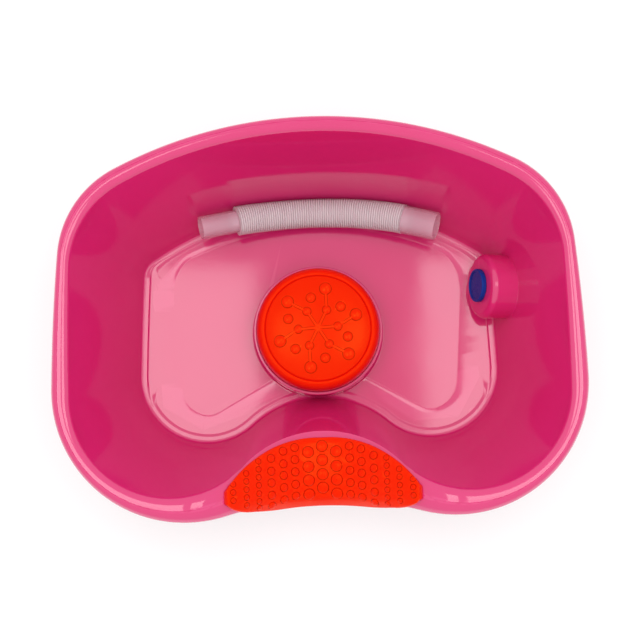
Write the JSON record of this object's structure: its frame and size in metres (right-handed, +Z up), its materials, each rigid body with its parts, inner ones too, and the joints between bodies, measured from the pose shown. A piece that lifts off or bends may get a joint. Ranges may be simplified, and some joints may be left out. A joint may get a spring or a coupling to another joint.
{
  "type": "portable shampoo basin",
  "caption": "Shallow moulded basin with a neck saddle, soft neck and head rest pads, a drain spout with its plug, and a loose corrugated drain hose.",
  "frame": {"origin": "middle of the footprint, on the surface that the basin stands on", "axes": "+X along the length towards the drain spout, +Y from the neck saddle to the back, +Z up"},
  "size_m": [0.479, 0.362, 0.15],
  "materials": {
    "pink_plastic": "polished moulded plastic",
    "orange_red_rubber": "soft matt rubber",
    "blue_plastic": "soft gloss plastic",
    "milky_plastic": "milky translucent plastic",
    "pink_clear_plastic": "clear plastic, tinted by the basin behind it"
  },
  "bodies": {
    "basin": {"basin_shell": "pink_plastic"},
    "head_rest": {"head_pad": "orange_red_rubber"},
    "neck_rest": {"neck_pad": "orange_red_rubber"},
    "plug": {"drain_plug": "blue_plastic"},
    "hose": {"drain_hose": "milky_plastic", "hose_small_cuff": "pink_clear_plastic", "hose_large_cuff": "pink_clear_plastic"}
  },
  "joints": [
    {"name": "head_pad_lift", "type": "slide", "parent": "basin", "child": "head_rest", "axis": [0, 0, 1], "range_m": [0, 0.06]},
    {"name": "neck_pad_lift", "type": "slide", "parent": "basin", "child": "neck_rest", "axis": [0, 0, 1], "range_m": [0, 0.06]},
    {"name": "drain_plug_pull", "type": "slide", "parent": "basin", "child": "plug", "axis": [-0.9373, 0, 0.3486], "range_m": [0, 0.03]},
    {"name": "drain_hose_lift", "type": "slide", "parent": "basin", "child": "hose", "axis": [0, 0, 1], "range_m": [0, 0.15]}
  ]
}
